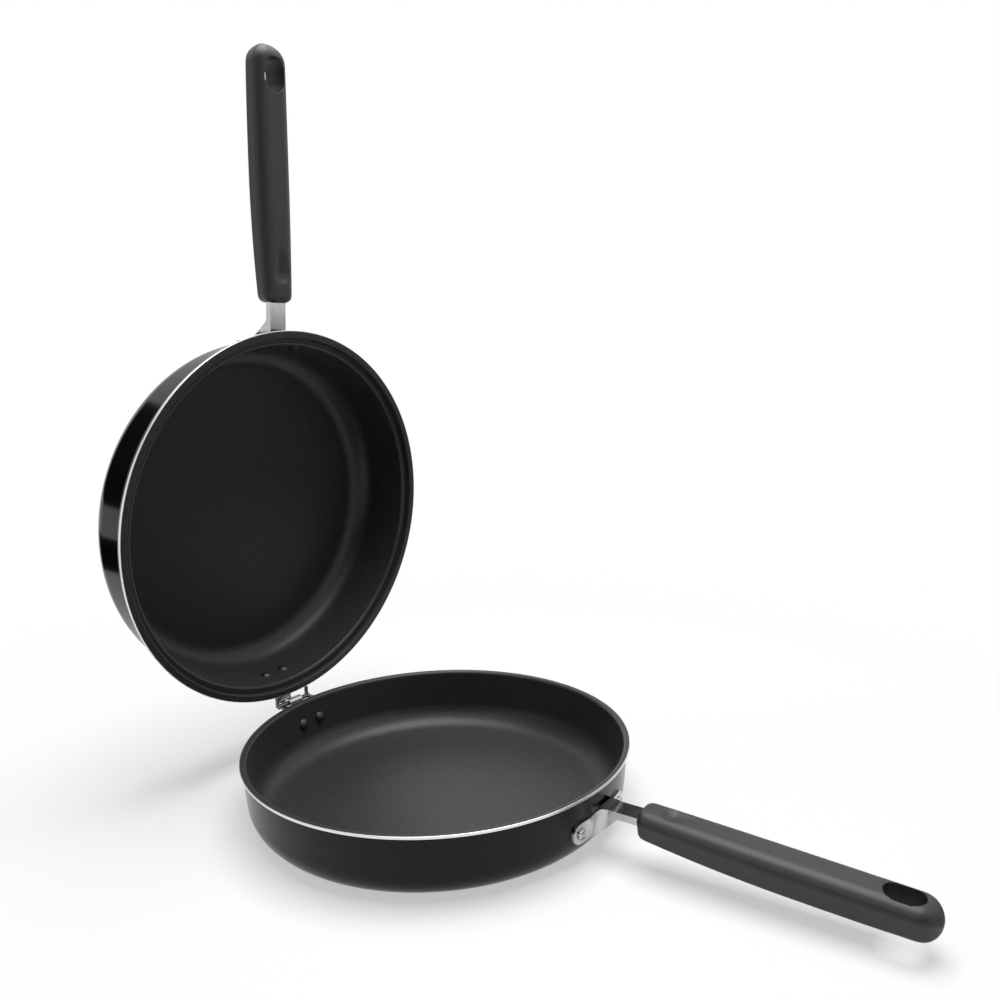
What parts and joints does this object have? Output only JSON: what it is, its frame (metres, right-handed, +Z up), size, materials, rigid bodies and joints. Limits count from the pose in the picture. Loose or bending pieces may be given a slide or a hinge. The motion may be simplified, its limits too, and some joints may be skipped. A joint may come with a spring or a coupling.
{
  "type": "double sided flip pan",
  "caption": "Double sided flip pan: two round frying pans hinged mouth to mouth at the back, each with a long grip; the upper pan stands open.",
  "frame": {"origin": "middle of the lower pan's base, on the surface that it stands on", "axes": "+Z up, +X along the lower handle away from the pan, hinge bar parallel to Y on the -X side"},
  "size_m": [0.4777, 0.252, 0.468],
  "materials": {
    "pan_coating": "satin",
    "bracket_steel": "polished",
    "hinge_steel": "satin",
    "rivet_black": "satin",
    "screw_steel": "satin",
    "grip_phenolic": "matte"
  },
  "bodies": {
    "lower_pan": {"lower_pan_shell": "pan_coating", "lower_handle_bracket": "bracket_steel", "lower_handle_rivet_left": "rivet_black", "lower_handle_rivet_right": "rivet_black", "lower_grip": "grip_phenolic", "lower_grip_screw": "screw_steel", "lower_grip_washer": "screw_steel", "lower_hinge_plate": "hinge_steel", "lower_hinge_rivet_left": "rivet_black", "lower_hinge_rivet_right": "rivet_black"},
    "upper_pan": {"upper_pan_shell": "pan_coating", "upper_handle_bracket": "bracket_steel", "upper_handle_rivet_left": "rivet_black", "upper_handle_rivet_right": "rivet_black", "upper_grip": "grip_phenolic", "upper_grip_screw": "screw_steel", "upper_grip_washer": "screw_steel", "upper_hinge_hook": "hinge_steel", "upper_hinge_rivet_left": "rivet_black", "upper_hinge_rivet_right": "rivet_black"}
  },
  "joints": [
    {"name": "pan_hinge", "type": "hinge", "parent": "lower_pan", "child": "upper_pan", "pos_m": [-0.132, 0, 0.0371], "axis": [0, 1, 0], "range_deg": [0, 85.5]}
  ]
}
